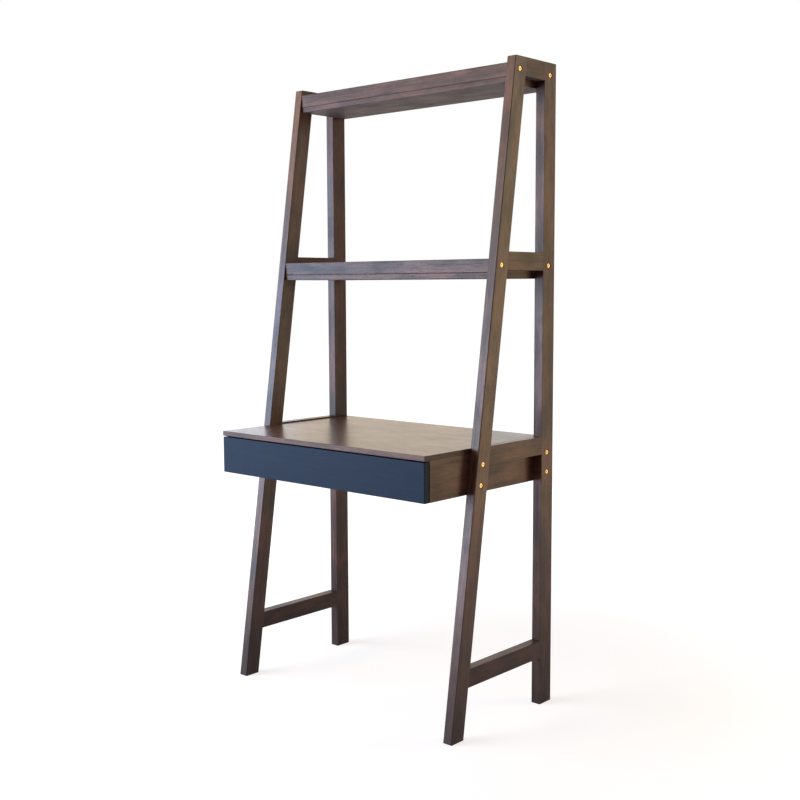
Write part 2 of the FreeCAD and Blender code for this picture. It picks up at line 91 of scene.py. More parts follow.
class Value:
    """One output socket that can be used in sums."""

    def __init__(self, tree, socket=None):
        self.tree = tree
        self.socket = socket

    def node(self, kind, values=None, output=0, **settings):
        """Adds any node: its settings first, then values or links by socket name or number."""
        made = self.tree.nodes.new(kind)
        for name, setting in settings.items():
            setattr(made, name, setting)
        for key, value in (values or {}).items():
            feed(self.tree, made.inputs[key], value)
        return Value(self.tree, made.outputs[output])

    def math(self, operation, *terms):
        """Adds a Math node on the given terms."""
        return self.node("ShaderNodeMath", dict(enumerate(terms)), operation=operation)

    def __add__(self, other):
        return self.math("ADD", self, other)

    def __radd__(self, other):
        return self.math("ADD", other, self)

    def __sub__(self, other):
        return self.math("SUBTRACT", self, other)

    def __rsub__(self, other):
        return self.math("SUBTRACT", other, self)

    def __mul__(self, other):
        return self.math("MULTIPLY", self, other)

    def __rmul__(self, other):
        return self.math("MULTIPLY", other, self)

    def __pow__(self, other):
        return self.math("POWER", self, other)

    def __rpow__(self, other):
        return self.math("POWER", other, self)

    def __abs__(self):
        return self.math("ABSOLUTE", self)

    def wave(self):
        """A sine wave of this phase that runs between 0 and 1."""
        return self.math("SINE", self) * 0.5 + 0.5

    def between(self, low, high):
        """Runs smoothly from 0 at the low limit to 1 at the high one."""
        values = {0: self, 1: low, 2: high}
        return self.node("ShaderNodeMapRange", values, interpolation_type="SMOOTHSTEP")

    def vector(self, operation, other, output=0):
        """Adds a Vector Math node."""
        return self.node("ShaderNodeVectorMath", {0: self, 1: other}, output, operation=operation)

    def axis(self, name):
        """One component, X, Y or Z, of a vector."""
        return self.node("ShaderNodeSeparateXYZ", {0: self}, name)

    def noise(self, scale, detail=2.0, roughness=0.5):
        """Noise that swings about 0, with its own scale along each axis."""
        stretched = self.vector("MULTIPLY", scale)
        values = {"Vector": stretched, "Scale": 1.0, "Detail": detail, "Roughness": roughness}
        return self.node("ShaderNodeTexNoise", values) - NOISE_MIDDLE

    def mix(self, low, high):
        """Mixes two colours, with this value as the share of the second."""
        return self.node("ShaderNodeMix", {0: self, 6: low, 7: high}, 2, data_type="RGBA")


print("shader values can be added, subtracted, multiplied and raised to a power")

# %% [markdown]
# ## Camera
#
# The desk is seen from the front right, from about the height of the middle shelf. A camera could be
# placed by eye; here its place, angles and focal length come from fitting the desk's straight edges, so
# that a render can be laid over the photograph.

# %% Camera
CAMERA_PLACE = (2.2329, -2.4037, 1.1850)
CAMERA_YAW = 41.908
CAMERA_PITCH = 5.714
CAMERA_ROLL = -0.225
LENS_LENGTH = 51.676
SENSOR_WIDTH = 36.0

lens = bpy.data.cameras.new("camera")
lens.lens = LENS_LENGTH
lens.sensor_width = SENSOR_WIDTH
camera = bpy.data.objects.new("camera", lens)
turn = Euler((math.radians(90 - CAMERA_PITCH), 0, math.radians(CAMERA_YAW))).to_matrix()
turn = turn @ Matrix.Rotation(math.radians(CAMERA_ROLL), 3, "Z")
camera.matrix_world = Matrix.Translation(CAMERA_PLACE) @ turn.to_4x4()
scene.collection.objects.link(camera)
scene.camera = camera
print("camera at", CAMERA_PLACE, "lens", round(lens.lens, 2), "mm")

# %% [markdown]
# ## Cool panes for the front faces
#
# Dark lacquer shows little of its own colour: most of what the eye sees on it is the sheen of whatever
# stands in the mirror direction. One large lamp would give every face the same sheen, so each group of
# faces gets soft panels where it mirrors them. The fronts of the posts, lips and drawer mirror the space
# at the front left. Six panes stand there in two columns and three rows: the left ones can be bluer, and
# each height has its own strength. The camera does not see the panels themselves.


# %% Front panes
def soft_panel(name, place, aim, size, power, colour):
    """A rectangular area light, in metres and watts, that looks from its place to its aim."""
    data = bpy.data.lights.new(name, "AREA")
    data.shape = "RECTANGLE"
    data.size, data.size_y = size
    data.energy = power
    data.color = colour
    light = bpy.data.objects.new(name, data)
    light.location = place
    light.rotation_euler = (Vector(aim) - Vector(place)).to_track_quat("-Z", "Y").to_euler()
    light.visible_camera = False
    scene.collection.objects.link(light)
    print(f"{name:12s} {power:6.2f} W")


PANE_FROM_AIM = Vector((-2.9, -3.1, 0.0))
PANE_SIDEWAYS = Vector((0.730, -0.683, 0.0))
PANE_STEP = 1.05
PANE_SIZE = (2.1, 0.77)
# column, height, power and colour of each pane
PANES = (
    (-1, 0.36, 29, (0.64, 0.79, 1.0)),
    (1, 0.36, 55, (0.66, 0.76, 1.0)),
    (-1, 1.13, 49, (0.44, 0.69, 1.0)),
    (1, 1.13, 61, (0.68, 0.79, 1.0)),
    (-1, 1.9, 60, (0.25, 0.58, 1.0)),
    (1, 1.9, 45, (0.82, 0.86, 1.0)),
)
for column, height, power, colour in PANES:
    pane_aim = PANE_SIDEWAYS * PANE_STEP * column + Vector((0.0, 0.0, height))
    soft_panel("front_pane", pane_aim + PANE_FROM_AIM, pane_aim, PANE_SIZE, power, colour)

# %% [markdown]
# ## Warm panels for the right faces and the writing board
#
# The right faces mirror a narrow strip at the right rear, and the posts stand in its way: that leaves the
# dark bands on the case beside each post. A broad lamp would fill those bands, so the strip is narrow and
# weak. The writing board mirrors the back left, cool at its left and warm in the middle.

# %% Side and back panels
SIDE_PLACE = (1.418, 1.199)
SIDE_AIM = (0.468, -0.051)
SIDE_SIZE = (0.62, 0.7)
# height, power and colour of each part of the strip
SIDE_PANELS = (
    (0.5, 3.5, (1.0, 0.67, 0.26)),
    (1.2, 5.0, (1.0, 0.67, 0.27)),
    (1.9, 4.5, (1.0, 0.72, 0.33)),
)
for height, power, colour in SIDE_PANELS:
    soft_panel("sheen_panel", (*SIDE_PLACE, height), (*SIDE_AIM, height), SIDE_SIZE, power, colour)

BACK_FROM_AIM = Vector((-2.35, 2.55, 0.35))
BACK_SIDEWAYS = Vector((0.735, 0.678, 0.0))
BACK_STEP = 1.13
BACK_AIM = Vector((0.0, 0.0, 0.8))
BACK_SIZE = (1.13, 1.7)
# column, power and colour of each panel
BACK_PANELS = (
    (-1, 11.25, (0.8, 0.84, 1.0)),
    (0, 5.9, (1.0, 0.72, 0.37)),
    (1, 4.2, (1.0, 0.91, 0.78)),
)
for column, power, colour in BACK_PANELS:
    panel_aim = BACK_SIDEWAYS * BACK_STEP * column + BACK_AIM
    soft_panel("back_panel", panel_aim + BACK_FROM_AIM, panel_aim, BACK_SIZE, power, colour)

# %% [markdown]
# ## Light from above
#
# A wide warm panel near the ceiling gives the fronts and the tops of the boards a plain light. Stronger
# panes would do that too, but they would turn the fronts blue. The front posts lean back and so mirror a
# higher place than the upright fronts do: one small pane above the right column is there for them.

# %% Ceiling glow and post pane
GLOW_PLACE = (-2.7, -2.9, 3.3)
GLOW_AIM = (0, 0, 1.2)
GLOW_SIZE = (3.6, 1.7)
GLOW_POWER = 88
GLOW_COLOUR = (1.0, 0.69, 0.5)
POST_PANE_PLACE = (-2.24, -3.71, 2.5)
POST_PANE_AIM = (0.66, -0.61, 1.9)
POST_PANE_SIZE = (0.8, 0.5)
POST_PANE_POWER = 6
POST_PANE_COLOUR = (0.95, 0.85, 0.88)
soft_panel("ceiling_glow", GLOW_PLACE, GLOW_AIM, GLOW_SIZE, GLOW_POWER, GLOW_COLOUR)
soft_panel("post_pane", POST_PANE_PLACE, POST_PANE_AIM, POST_PANE_SIZE, POST_PANE_POWER, POST_PANE_COLOUR)

# %% [markdown]
# ## White surroundings
#
# The background is white, but it should not flood the desk with light. Light Path tells the rays apart:
# camera, mirror and see-through rays find white, and the rays that only gather light find a dim grey
# room. Stronger lamps would whiten the background as well, and burn out the wood.

# %% White room
ROOM_LIGHT = (0.18, 0.165, 0.17, 1.0)
WHITE = (1.0, 1.0, 1.0, 1.0)


def seen_directly(value):
    """1 for what is seen by the camera, in a mirror or through glass, 0 for light that only bounces."""
    camera_ray = value.node("ShaderNodeLightPath", output="Is Camera Ray")
    glossy_ray = value.node("ShaderNodeLightPath", output="Is Glossy Ray")
    through_ray = value.node("ShaderNodeLightPath", output="Is Transmission Ray")
    return value.math("MAXIMUM", value.math("MAXIMUM", camera_ray, glossy_ray), through_ray)


def white_room():
    """A world that looks white and gives a dim light."""
    world = bpy.data.worlds.new("room")
    world.use_nodes = True
    tree = world.node_tree
    colour = seen_directly(Value(tree)).mix(ROOM_LIGHT, WHITE)
    feed(tree, tree.nodes["Background"].inputs["Color"], colour)
    return world


scene.world = white_room()
print("room light", ROOM_LIGHT[:3], "shown as", WHITE[:3])

# %% [markdown]
# ## Pale floor
#
# The floor has to look white and still carry the desk's faint shadow. White paint alone would look grey
# in this light. What the camera sees is part paint, which takes the shadow, and part glow, which makes up
# the rest of the white and grows with distance, so that the floor runs into the background without an
# edge. Bounced light meets a tinted paint instead. Every material from here on starts with the same two
# helpers.


# %% Floor
def new_material(name):
    """A material, its surface shader and a value to build from."""
    material = bpy.data.materials.new(name)
    material.use_nodes = True
    tree = material.node_tree
    return material, tree.nodes["Principled BSDF"], Value(tree)


def plug(shader, **values):
    """Feeds shader sockets, named in lower case with underscores."""
    for name, value in values.items():
        socket = name.replace("_", " ").title().replace("Ior", "IOR")
        feed(shader.id_data, shader.inputs[socket], value)


FLOOR_REACH = 14.0
FLOOR_PAINT = (0.44, 0.44, 0.44, 1)
FLOOR_GLOW = (0.74, 0.74, 0.74, 1)
FLOOR_FADE = (0.7, 2.2)
FLOOR_BOUNCE = ((0.6, 0.45, 0.55, 1), (0.64, 0.49, 0.59, 1))
FLOOR_FLECKS = ((60.0, 60.0, 60.0), 3.0)
FLOOR_ROUGHNESS = 0.9


def pale_floor():
    """Paint and glow for what is seen, tinted paint for bounced light."""
    material, shader, value = new_material("pale_floor")
    place = value.node("ShaderNodeTexCoord", output="Object")
    fleck = place.noise(*FLOOR_FLECKS) + NOISE_MIDDLE
    plug(shader, base_color=fleck.mix(*FLOOR_BOUNCE), roughness=FLOOR_ROUGHNESS)
    away = place.vector("DISTANCE", (0.0, 0.0, 0.0), "Value").between(*FLOOR_FADE)
    glow = value.node("ShaderNodeEmission", {"Color": away.mix(FLOOR_GLOW, WHITE), "Strength": 1.0})
    paint = value.node("ShaderNodeBsdfDiffuse", {"Color": FLOOR_PAINT})
    shown = value.node("ShaderNodeAddShader", {0: paint, 1: glow})
    bounced = Value(material.node_tree, shader.outputs[0])
    surface = value.node("ShaderNodeMixShader", {0: seen_directly(value), 1: bounced, 2: shown})
    feed(material.node_tree, material.node_tree.nodes["Material Output"].inputs["Surface"], surface)
    return material


floor_mesh = bpy.data.meshes.new("floor")
floor_corners = [(x * FLOOR_REACH, y * FLOOR_REACH, 0) for x, y in ((-1, -1), (1, -1), (1, 1), (-1, 1))]
floor_mesh.from_pydata(floor_corners, [], [(0, 1, 2, 3)])
floor = bpy.data.objects.new("floor", floor_mesh)
scene.collection.objects.link(floor)
floor_mesh.materials.append(pale_floor())
print("floor of", 2 * FLOOR_REACH, "m across")

# %% [markdown]
# ## Boards and their grain
#
# Each board is cut from its own plank, and its grain runs along its length. An image could be laid on
# every face, but it would not meet at the edges. Here the pattern is solid: it fills the volume of the
# board, so faces, edges and ends agree, and each board starts at its own place in it. On the leaning
# posts the pattern leans too.

# %% Board coordinates
# the axes that run across, through and along the grain
GRAIN_AXES = {"x": ("Y", "Z", "X"), "y": ("X", "Z", "Y"), "z": ("X", "Y", "Z")}
# the widest shift between two boards along those axes, in metres
BOARD_SHIFTS = (3.7, 9.1, 6.3)


def board_coordinates(value, grain, lean=0.0):
    """Positions as across, through and along the grain, shifted from board to board."""
    place = value.node("ShaderNodeTexCoord", output="Object")
    if lean:
        turned = {"Vector": place, "Angle": lean}
        place = value.node("ShaderNodeVectorRotate", turned, rotation_type="X_AXIS")
    chance = value.node("ShaderNodeObjectInfo", output="Random")
    parts = [place.axis(name) + chance * shift for name, shift in zip(GRAIN_AXES[grain], BOARD_SHIFTS)]
    return value.node("ShaderNodeCombineXYZ", dict(enumerate(parts)))


print("grain can run along", ", ".join(GRAIN_AXES))

# %% [markdown]
# ## Softened edges
#
# No real edge is sharp: sanding rounds it and hands rub it. Rounding the meshes would change the CAD
# shapes, so the Bevel node bends the normal near an edge instead. How far it bends also tells where the
# finish is rubbed thin.

# %% Edge wear
EDGE_SAMPLES = 6


def edge_wear(value, radius):
    """Rises from 0 where a rounded edge would turn away from its face, and the softened normal."""
    soft = value.node("ShaderNodeBevel", {"Radius": radius}, samples=EDGE_SAMPLES)
    flat = value.node("ShaderNodeNewGeometry", output="True Normal")
    return 1.0 - soft.vector("DOT_PRODUCT", flat, "Value"), soft


print("edges are softened with", EDGE_SAMPLES, "samples")

# %% [markdown]
# ## Layers of a finish
#
# A finisher works in layers, and so do the materials below. Noises and masks are kept by name, and small
# tables say how strongly each one counts. Long sums would do the same, but a table shows at a glance what
# a finish is made of, and one number can be changed without reading the rest.


# %% Layer helpers
def noises(place, table):
    """Noises by name, from a table of scale, detail and roughness."""
    return {name: place.noise(*settings) for name, settings in table.items()}


def masks(layers, table):
    """Masks by name, from a table of layer, low limit and high limit."""
    return {name: layers[layer].between(low, high) for name, (layer, low, high) in table.items()}


def weighed(layers, table):
    """The sum of layers, each times its weight."""
    first, *others = [layers[name] * weight for name, weight in table.items()]
    return sum(others, first)


def laid_over(colour, layers, table):
    """Lays colours over a ground in order, from a table of share and colour."""
    for name, (share, over) in table.items():
        colour = (layers[name] * share).mix(colour, over)
    return colour


def bump(value, strength, distance, height, normal):
    """A Bump node on top of a normal."""
    values = {"Strength": strength, "Distance": distance, "Height": height, "Normal": normal}
    return value.node("ShaderNodeBump", values)


print("layer helpers for noises, masks, sums, colours and bumps")

# %% [markdown]
# ## Dark stained wood
#
# The frames, shelves and case are hardwood with a dark walnut stain under satin lacquer. The stain
# settles in pores and veins and takes unevenly, in reddish blotches and olive clouds. Fibres and hairs
# are noise that is drawn out along the grain. Blender has a Wave texture for year rings; here a sine of
# the same coordinates draws them, so that rings, fibres and pores belong to one board.

# %% Wood layers
# scale in cycles per metre across, through and along the grain, detail and roughness
WOOD_NOISES = {
    "drift": ((6.0, 6.0, 0.8), 3.0, 0.5),
    "fibre": ((330.0, 330.0, 7.0), 4.0, 0.62),
    "hair": ((1300.0, 1300.0, 26.0), 2.0, 0.5),
    "pores": ((820.0, 820.0, 19.0), 1.0, 0.5),
    "tone": ((3.1, 3.1, 0.7), 2.0, 0.5),
    "blotch": ((19.0, 19.0, 8.0), 3.0, 0.6),
    "cloud": ((13.0, 13.0, 4.0), 3.0, 0.6),
    "vein": ((120.0, 120.0, 3.5), 3.0, 0.6),
    "patchy": ((60.0, 60.0, 14.0), 3.0, 0.5),
}
WOOD_MASKS = {
    "pores": ("pores", 0.10, 0.20),
    "reddish": ("blotch", -0.02, 0.20),
    "olive": ("cloud", 0.0, 0.22),
    "vein": ("vein", 0.02, 0.20),
    "patchy": ("patchy", -0.15, 0.20),
    "fibre_film": ("fibre", -0.20, 0.20),
    "blotch_film": ("blotch", -0.14, 0.14),
}
RING_SLANT = 0.6
RING_PHASE = 330.0
RING_DRIFT = 30.0
RING_SHARPNESS = 1.6


def rings(board, drift, phase, wander, sharpness):
    """Year rings as a wave across the board that drifts along it."""
    slanted = board.axis("X") + board.axis("Y") * RING_SLANT
    return (slanted * phase + drift * wander).wave() ** sharpness


def wood_layers(board):
    """Noises, masks and rings of the stained wood."""
    layers = noises(board, WOOD_NOISES)
    layers["ring"] = rings(board, layers["drift"], RING_PHASE, RING_DRIFT, RING_SHARPNESS)
    return {**layers, **masks(layers, WOOD_MASKS)}


print(len(WOOD_NOISES), "noises and", len(WOOD_MASKS), "masks in the wood")

# %% [markdown]
# ### Where a board is worn or cut, and where shade and a reflection are painted
#
# Four masks come from a board's shape and place. Edges are rubbed in patches and end grain drinks more
# stain. Towards the floor the feet get painted shade, darker and duller, and the undersides get a painted
# grey reflection and are left dull. They could be painted by hand on each piece, but masks that read
# normals and heights fit all pieces at once.

# %% Places on a board
WOOD_EDGE = 0.0016
WOOD_RUB = (0.02, 0.3)
END_TURN = (0.8, 0.95)
# how far a face must turn down to get the painted grey reflection
UNDER_TURN = (0.7, 0.95)
# height over which the painted shade at the feet fades out, in metres
FOOT_SHADE_REACH = (0.0, 0.4)


def board_places(value, grain, worn, patchy):
    """Masks of the rubbed edges, the ends, the painted shade at the feet and the painted reflection on the
    undersides.
    """
    face = value.node("ShaderNodeTexCoord", output="Normal")
    height = value.node("ShaderNodeTexCoord", output="Object").axis("Z")
    along = GRAIN_AXES[grain][2]
    return {
        "rubbed": worn.between(*WOOD_RUB) * patchy,
        "ends": abs(face.axis(along)).between(*END_TURN),
        # painted shade: darker and duller towards the floor
        "feet_painted_shade": 1.0 - height.between(*FOOT_SHADE_REACH),
        # painted reflection: faces that look down turn grey
        "under_painted_reflection": (face.axis("Z") * -1.0).between(*UNDER_TURN),
    }


print("feet darken below", FOOT_SHADE_REACH[1], "m")

# %% [markdown]
# ### Stain and lacquer
#
# The layers add up to one value that picks a colour between dark and light stain. Then each feature is
# laid over it: blotches and clouds first, pores and veins next, then the painted shade at the feet, wear,
# end grain and the painted grey reflection on the undersides. The lacquer is thin. It follows the fibres,
# lies thicker on the blotches, and is dull where it is rubbed or cut, near the floor and on the
# undersides.
# A second shader could be mixed in for it, but the clear coat of the first is enough for a thin film.

# %% Stained wood
STAIN_DARK = (0.03, 0.0134, 0.0092, 1)
STAIN_LIGHT = (0.13, 0.0555, 0.0315, 1)
STAIN_LIMITS = (-0.24, 0.48)
STAIN_WEIGHTS = {"ring": 0.14, "fibre": 0.62, "hair": 0.3, "tone": 0.9}
STAIN_OVER = {
    "reddish": (0.55, (0.115, 0.041, 0.026, 1)),
    "olive": (0.55, (0.04, 0.027, 0.02, 1)),
    "pores": (0.6, (0.011, 0.006, 0.005, 1)),
    "vein": (0.5, (0.026, 0.0125, 0.009, 1)),
    # painted shade at the feet
    "feet_painted_shade": (0.75, (0.011, 0.0046, 0.0046, 1)),
    "rubbed": (0.75, (0.17, 0.072, 0.042, 1)),
    "ends": (0.6, (0.014, 0.008, 0.006, 1)),
    # painted grey reflection on the undersides
    "under_painted_reflection": (0.6, (0.07, 0.074, 0.075, 1)),
}
LACQUER_DULLING = {
    "fibre": 0.12,
    "pores": 0.1,
    "vein": 0.06,
    "rubbed": 0.08,
    "ends": 0.12,
    "under_painted_reflection": 0.45,
    "feet_painted_shade": 0.22,
}
WOOD_HEIGHTS = {"fibre": 0.5, "hair": 0.2, "pores": -0.8}
WOOD_DEPTH = 0.0004
COAT_ROUGHNESS = 0.24
FIBRE_FILM = 0.08
BLOTCH_STAIN = 0.6
# how far full mottling moves the stain, the gloss and the film of lacquer
MOTTLED_STAIN = 0.4
MOTTLED_GLOSS = 0.14
MOTTLED_FILM = 0.05


def stained_wood(name, grain, lean=0.0, dullness=0.345, relief=0.3, mirror=0.2, mottle=1.0):
    """Stained and lacquered wood; mottle says how far the blotches show."""
    material, shader, value = new_material(name)
    layers = wood_layers(board_coordinates(value, grain, lean))
    worn, soft = edge_wear(value, WOOD_EDGE)
    layers.update(board_places(value, grain, worn, layers["patchy"]))
    ground = weighed(layers, {**STAIN_WEIGHTS, "blotch": BLOTCH_STAIN + MOTTLED_STAIN * mottle})
    colour = ground.between(*STAIN_LIMITS).mix(STAIN_DARK, STAIN_LIGHT)
    dulling = weighed(layers, {**LACQUER_DULLING, "blotch": -MOTTLED_GLOSS * mottle})
    films = {"fibre_film": FIBRE_FILM - MOTTLED_FILM * mottle, "blotch_film": MOTTLED_FILM * mottle}
    plug(
        shader,
        base_color=laid_over(colour, layers, STAIN_OVER),
        roughness=dullness + dulling,
        normal=bump(value, relief, WOOD_DEPTH, weighed(layers, WOOD_HEIGHTS), soft),
        coat_weight=weighed(layers, films),
        coat_roughness=COAT_ROUGHNESS,
        specular_ior_level=mirror,
    )
    return material


print("stain runs from", STAIN_DARK[:3], "to", STAIN_LIGHT[:3])

# %% [markdown]
# ### Five kinds of board
#
# Shelves and lips run across, rails and case sides run deep, and posts stand. All pieces lie in one frame
# and none is turned in it, so each direction of grain needs a material of its own. The writing board is
# smoother and evener than the rest, and the leaning posts carry a little more sheen.

# %% Wood on the pieces
LEAN_RUN = 0.264
FRAME_HEIGHT = 1.78
LEAN = math.atan2(LEAN_RUN, FRAME_HEIGHT)
# each kind of board with the endings of its pieces' names
BOARDS = (
    (stained_wood("stained_wood_across", "x"), ("board", "lip", "case_back")),
    (stained_wood("stained_wood_desktop", "x", dullness=0.31, relief=0.1, mottle=0.2), ("desktop",)),
    (stained_wood("stained_wood_deep", "y"), ("rail", "stretcher", "cleat", "case_side")),
    (stained_wood("stained_wood_upright", "z"), ("rear_post",)),
    (stained_wood("stained_wood_leaning", "z", LEAN, mirror=0.28), ("front_post",)),
)


def dress(endings, material):
    """Gives one material to the CAD pieces whose names have one of these endings."""
    names = [name for name in nodes if name.endswith(endings)]
    for name in names:
        slots = nodes[name].data.materials
        slots.clear()
        slots.append(material)
    print(f"{material.name:22s} on {len(names)} pieces")


for wood, endings in BOARDS:
    dress(endings, wood)

# %% [markdown]
# ## Navy paint
#
# The drawer front is a plain slab sprayed with satin navy paint. Spray leaves a faint orange peel, the
# wood telegraphs through as slight streaks, and handling thins the paint at the edges. One flat blue
# would look like plastic, so the colour drifts a little and the streaks run along the slab.

# %% Paint on the drawer front
PAINT_NOISES = {
    "peel": ((520.0, 520.0, 520.0), 2.0, 0.5),
    "streak": ((9.0, 260.0, 260.0), 3.0, 0.6),
    "cloud": ((11.0, 11.0, 11.0), 4.0, 0.6),
    "patchy": ((45.0, 45.0, 45.0), 3.0, 0.5),
}
PAINT_MASKS = {
    "pale": ("cloud", -0.20, 0.20),
    "streaks": ("streak", -0.04, 0.26),
    "patchy": ("patchy", -0.10, 0.20),
}
NAVY_DARK = (0.0024, 0.0122, 0.0295, 1)
NAVY_LIGHT = (0.005, 0.017, 0.0375, 1)
PAINT_OVER = {
    "streaks": (0.5, (0.014, 0.027, 0.047, 1)),
    "rubbed": (0.6, (0.05, 0.068, 0.1, 1)),
}
PAINT_EDGE = 0.0014
PAINT_RUB = (0.03, 0.3)
PAINT_ROUGHNESS = 0.5
PAINT_DULLING = {"cloud": 0.14, "streak": 0.1}
PAINT_HEIGHTS = {"peel": 0.6, "streak": 0.5}
PAINT_RELIEF = 0.12
PAINT_DEPTH = 0.0004
PAINT_MIRROR = 0.1


def navy_paint():
    """Sprayed satin paint with streaks and rubbed edges."""
    material, shader, value = new_material("navy_paint")
    layers = noises(value.node("ShaderNodeTexCoord", output="Object"), PAINT_NOISES)
    layers.update(masks(layers, PAINT_MASKS))
    worn, soft = edge_wear(value, PAINT_EDGE)
    layers["rubbed"] = worn.between(*PAINT_RUB) * layers["patchy"]
    colour = layers["pale"].mix(NAVY_DARK, NAVY_LIGHT)
    plug(
        shader,
        base_color=laid_over(colour, layers, PAINT_OVER),
        roughness=PAINT_ROUGHNESS + weighed(layers, PAINT_DULLING),
        normal=bump(value, PAINT_RELIEF, PAINT_DEPTH, weighed(layers, PAINT_HEIGHTS), soft),
        specular_ior_level=PAINT_MIRROR,
    )
    return material


dress("drawer_front", navy_paint())

# %% [markdown]
# ## Plated metals
#
# Brass plated bolt heads stand on the posts, bright on the crown, with a painted dark reflection at the
# rim.
# The ball slides are rolled from zinc plated strip: rolling draws faint lines along them, and the plating
# dries in cool and warm clouds. Plain metal colours would be quicker, but on small round heads they look
# like paint. Both platings are one recipe with other colours and scales.

# %% Plated metal
# detail and roughness of the two noises
CLOUD_DETAIL = (4.0, 0.6)
LINE_DETAIL = (3.0, 0.6)
METAL_DULL = (-0.15, 0.25)
METAL_RUB = (0.05, 0.4)
METAL_RUB_SHARE = 0.5
CROWN_TURN = (0.8, 0.995)
# colour of the painted dark reflection at the rim of a bolt head
RIM_PAINTED_REFLECTION = (0.1, 0.052, 0.02, 1)
METAL_DULLING = {"line": 0.16, "cloud": 0.2}
METAL_RELIEF = 0.15
METAL_DEPTH = 0.0002


def plated_metal(name, bright, dull, dullness, line_scale, cloud_scale, round_over, ring=0.0):
    """Polished plating with drawn lines and clouds; ring is the share of painted dark reflection round a
    bolt head.
    """
    material, shader, value = new_material(name)
    cloud_scales = (cloud_scale, cloud_scale, cloud_scale)
    table = {"cloud": (cloud_scales, *CLOUD_DETAIL), "line": (line_scale, *LINE_DETAIL)}
    layers = noises(value.node("ShaderNodeTexCoord", output="Object"), table)
    worn, soft = edge_wear(value, round_over)
    colour = layers["cloud"].between(*METAL_DULL).mix(bright, dull)
    colour = (worn.between(*METAL_RUB) * METAL_RUB_SHARE).mix(colour, bright)
    # painted reflection: the rim is darkened as a domed head would mirror the dark round it
    if ring:
        rim = 1.0 - abs(soft.axis("X")).between(*CROWN_TURN)
        colour = (rim * ring).mix(colour, RIM_PAINTED_REFLECTION)
    plug(
        shader,
        base_color=colour,
        roughness=dullness + weighed(layers, METAL_DULLING),
        normal=bump(value, METAL_RELIEF, METAL_DEPTH, layers["line"], soft),
        metallic=1.0,
    )
    return material


brass = plated_metal(
    "brass_plate",
    bright=(0.78, 0.52, 0.22, 1),
    dull=(0.56, 0.35, 0.15, 1),
    dullness=0.19,
    line_scale=(900.0, 900.0, 900.0),
    cloud_scale=160.0,
    round_over=0.003,
    ring=0.9,
)
zinc = plated_metal(
    "zinc_plate",
    bright=(0.66, 0.68, 0.72, 1),
    dull=(0.56, 0.56, 0.55, 1),
    dullness=0.34,
    line_scale=(900.0, 12.0, 900.0),
    cloud_scale=45.0,
    round_over=0.0005,
)
dress(("_bolts", "_inserts"), brass)
dress(("_slide", "_ball_cage", "_balls"), zinc)

# %% [markdown]
# ## Drawer box
#
# The box behind the front is plain birch plywood, sealed clear. Its faces show wide, quiet grain; its
# edges show the plies, light and dark by turns. Modelled plies would cut each sheet into slices, so they
# are a wave through the sheet that only shows on faces that cut across it.

# %% Birch plywood
BIRCH_NOISES = {
    "drift": ((11.0, 11.0, 1.4), 3.0, 0.5),
    "fibre": ((420.0, 420.0, 9.0), 4.0, 0.6),
    "fleck": ((700.0, 700.0, 60.0), 1.0, 0.5),
}
BIRCH_MASKS = {"fleck": ("fleck", 0.12, 0.22)}
BIRCH_PHASE = 140.0
BIRCH_DRIFT = 34.0
BIRCH_SHARPNESS = 2.0
BIRCH_WEIGHTS = {"ring": 0.25, "fibre": 0.75}
BIRCH_LIMITS = (-0.175, 0.475)
BIRCH_DARK = (0.56, 0.40, 0.24, 1)
BIRCH_LIGHT = (0.72, 0.56, 0.37, 1)
BIRCH_OVER = {
    "fleck": (0.35, (0.40, 0.26, 0.14, 1)),
    "plies": (0.62, (0.33, 0.2, 0.1, 1)),
    "rubbed": (0.3, (0.78, 0.64, 0.46, 1)),
}
FACE_TURN = (0.6, 0.9)
PLY_LIMITS = (0.375, 0.625)
BIRCH_EDGE = 0.0008
BIRCH_RUB = (0.04, 0.4)
BIRCH_ROUGHNESS = 0.55
BIRCH_DULLING = {"fibre": 0.14}
BIRCH_HEIGHTS = {"fibre": 0.5, "fleck": -0.5, "plies": -0.6}
BIRCH_RELIEF = 0.2
BIRCH_DEPTH = 0.0003
SIDE_PLY = 0.0015
BOTTOM_PLY = 0.0012


def birch_plywood(name, grain, through, ply):
    """Clear sealed plywood; through is the axis through the sheet, ply the thickness of a layer."""
    material, shader, value = new_material(name)
    board = board_coordinates(value, grain)
    layers = noises(board, BIRCH_NOISES)
    layers["ring"] = rings(board, layers["drift"], BIRCH_PHASE, BIRCH_DRIFT, BIRCH_SHARPNESS)
    layers.update(masks(layers, BIRCH_MASKS))
    face = value.node("ShaderNodeTexCoord", output="Normal")
    cut_edge = 1.0 - abs(face.axis(through)).between(*FACE_TURN)
    phase = value.node("ShaderNodeTexCoord", output="Object").axis(through) * (math.pi / ply)
    layers["plies"] = cut_edge * phase.wave().between(*PLY_LIMITS)
    worn, soft = edge_wear(value, BIRCH_EDGE)
    layers["rubbed"] = worn.between(*BIRCH_RUB)
    colour = weighed(layers, BIRCH_WEIGHTS).between(*BIRCH_LIMITS).mix(BIRCH_DARK, BIRCH_LIGHT)
    plug(
        shader,
        base_color=laid_over(colour, layers, BIRCH_OVER),
        roughness=BIRCH_ROUGHNESS + weighed(layers, BIRCH_DULLING),
        normal=bump(value, BIRCH_RELIEF, BIRCH_DEPTH, weighed(layers, BIRCH_HEIGHTS), soft),
    )
    return material


dress(("drawer_left_side", "drawer_right_side"), birch_plywood("birch_ply_deep", "y", "X", SIDE_PLY))
dress(("drawer_box_front", "drawer_back"), birch_plywood("birch_ply_across", "x", "Y", SIDE_PLY))
dress("drawer_bottom", birch_plywood("birch_ply_floor", "x", "Z", BOTTOM_PLY))

